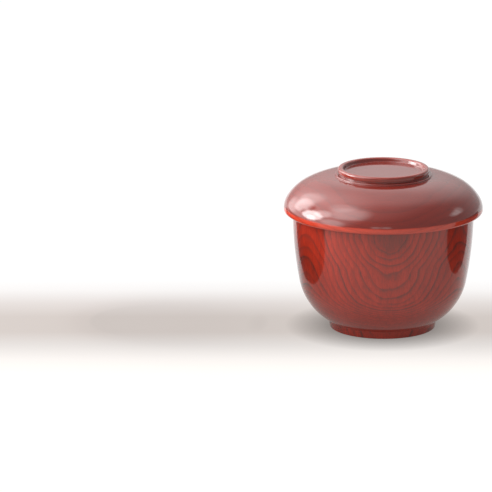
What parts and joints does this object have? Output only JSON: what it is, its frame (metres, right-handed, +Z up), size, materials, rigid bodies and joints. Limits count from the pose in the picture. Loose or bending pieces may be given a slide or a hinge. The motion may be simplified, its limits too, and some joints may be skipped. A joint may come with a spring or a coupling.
{
  "type": "lidded rice bowl",
  "caption": "Deep round turned-wood rice bowl on a low foot ring, with a domed overhanging lid that has a ring on top and a tongue underneath.",
  "frame": {"origin": "on the table, at the centre of the bowl's foot ring", "axes": "+Z up along the axis of bowl and lid; +Y away from the viewer of the usual front view, +X to its right"},
  "size_m": [0.114, 0.114, 0.0935],
  "materials": {
    "bowl_lacquer": "turned wood with a clear red lacquer, gloss, grain showing",
    "lid_lacquer": "turned wood with a clear red lacquer, gloss, grain showing"
  },
  "bodies": {
    "bowl": {"bowl": "bowl_lacquer"},
    "lid": {"lid": "lid_lacquer"}
  },
  "joints": [
    {"name": "lid_lift", "type": "slide", "parent": "bowl", "child": "lid", "axis": [0, 0, 1], "range_m": [0, 0.1]}
  ]
}
